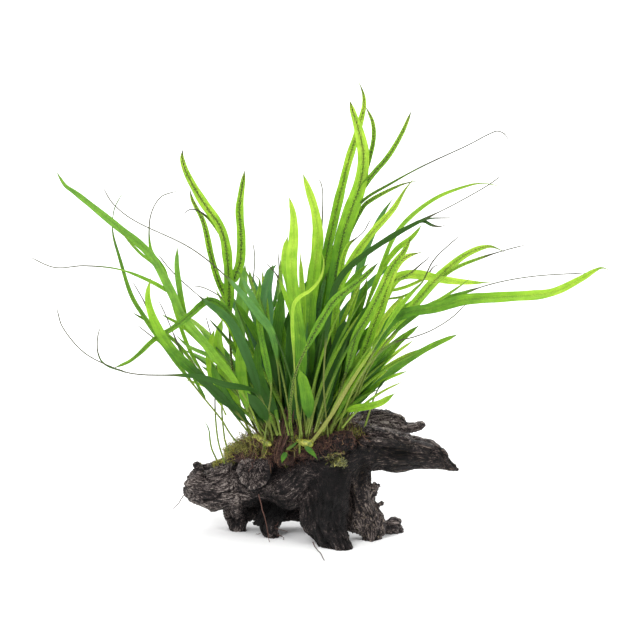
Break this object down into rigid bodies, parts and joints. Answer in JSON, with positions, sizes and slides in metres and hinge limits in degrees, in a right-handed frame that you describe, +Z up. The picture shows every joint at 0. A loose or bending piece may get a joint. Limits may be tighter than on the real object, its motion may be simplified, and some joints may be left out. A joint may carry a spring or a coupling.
{
  "type": "java fern on driftwood",
  "caption": "Narrow-leaved java fern with forked, tapering fronds grown onto a dark, gnarled piece of driftwood that stands on its own root stubs.",
  "frame": {"origin": "middle of the flat sole of the driftwood's front leg, on the surface that the wood stands on", "axes": "+Z up, +X to the right along the driftwood, +Y from the front, with the sawn knot, to the back"},
  "size_m": [0.3146, 0.1778, 0.2515],
  "materials": {
    "driftwood": "dark waterlogged driftwood, near black with grey-brown grain, matt to satin",
    "fern_blade": "thin living leaf, satin, light shines through it, darker dotted midrib",
    "fern_rhizome": "fleshy yellow-green creeping stem, satin",
    "root_fibre": "felt of fine brown roots, matt",
    "moss": "tufts of olive to yellow-green moss, matt"
  },
  "bodies": {
    "root": {"crozier_left": "fern_blade", "frond_back_blue": "fern_blade", "frond_centre_bright": "fern_blade", "frond_centre_dark": "fern_blade", "frond_centre_front": "fern_blade", "frond_centre_pale_curl": "fern_blade", "frond_centre_tall": "fern_blade", "frond_inner_arching": "fern_blade", "frond_inner_dark": "fern_blade", "frond_left_blue": "fern_blade", "frond_left_bright_tip": "fern_blade", "frond_left_broad": "fern_blade", "frond_left_broad_blue": "fern_blade", "frond_left_dark": "fern_blade", "frond_left_drooping": "fern_blade", "frond_left_forked": "fern_blade", "frond_left_long": "fern_blade", "frond_left_low": "fern_blade", "frond_left_short": "fern_blade", "frond_left_thin": "fern_blade", "frond_left_trailing": "fern_blade", "frond_right_arching": "fern_blade", "frond_right_base": "fern_blade", "frond_right_blue": "fern_blade", "frond_right_broad": "fern_blade", "frond_right_companion": "fern_blade", "frond_right_edge": "fern_blade", "frond_right_forked": "fern_blade", "frond_right_hooked": "fern_blade", "frond_right_long_dark": "fern_blade", "frond_right_low": "fern_blade", "frond_right_low_thread": "fern_blade", "frond_right_speckled": "fern_blade", "frond_right_tall": "fern_blade", "frond_right_thread": "fern_blade", "frond_right_upper": "fern_blade", "frond_right_yellow": "fern_blade", "frond_speckled_stalk": "fern_blade", "hair_root_brown": "root_fibre", "hair_root_front": "root_fibre", "hair_root_left": "root_fibre", "moss_right": "moss", "moss_tuft": "moss", "rhizome_centre": "fern_rhizome", "rhizome_left": "fern_rhizome", "root_mat_centre": "root_fibre", "root_mat_left": "root_fibre", "stalk_front_pale": "fern_blade", "stalk_left_inner": "fern_blade", "stalk_left_outer": "fern_blade", "wood_burl_foot": "driftwood", "wood_central_leg": "driftwood", "wood_diagonal_leg": "driftwood", "wood_knot_stub": "driftwood", "wood_left_foot": "driftwood", "wood_rear_root": "driftwood", "wood_right_limb": "driftwood", "wood_root_spike": "driftwood", "wood_trunk": "driftwood", "wood_upper_spur": "driftwood"}
  },
  "joints": []
}
